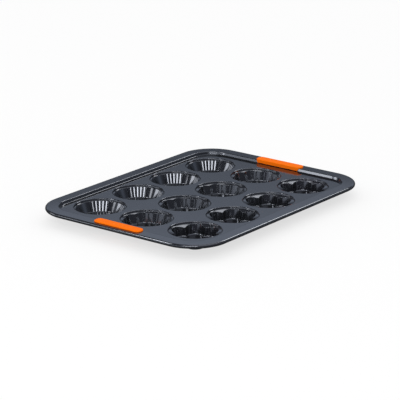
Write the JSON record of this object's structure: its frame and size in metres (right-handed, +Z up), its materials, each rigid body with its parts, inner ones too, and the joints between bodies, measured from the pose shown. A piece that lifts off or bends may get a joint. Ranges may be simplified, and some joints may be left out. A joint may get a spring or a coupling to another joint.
{
  "type": "shaped mini cake pan",
  "caption": "Rectangular bakeware pan with a wired rolled rim, a stepped deck of round-mouthed shaped cups for small cakes, and soft grips on its short sides.",
  "frame": {"origin": "middle of the plane that the cups stand on", "axes": "+X along the pan's long side, +Y along its short side, +Z up out of the cups' mouths"},
  "size_m": [0.4, 0.3, 0.0243],
  "materials": {
    "coating": "dark blue-grey non-stick coating on pressed steel, glossy with a fine orange-peel",
    "wire": "plain drawn steel wire",
    "grip": "satin orange silicone"
  },
  "bodies": {
    "root": {"pan_tray": "coating", "rim_wire": "wire", "ribbed_cup_1": "coating", "ribbed_cup_2": "coating", "ribbed_cup_3": "coating", "ribbed_cup_4": "coating", "fluted_cup_1": "coating", "fluted_cup_2": "coating", "fluted_cup_3": "coating", "fluted_cup_4": "coating", "petal_cup_1": "coating", "petal_cup_2": "coating", "petal_cup_3": "coating", "petal_cup_4": "coating", "right_grip": "grip", "left_grip": "grip"}
  },
  "joints": []
}
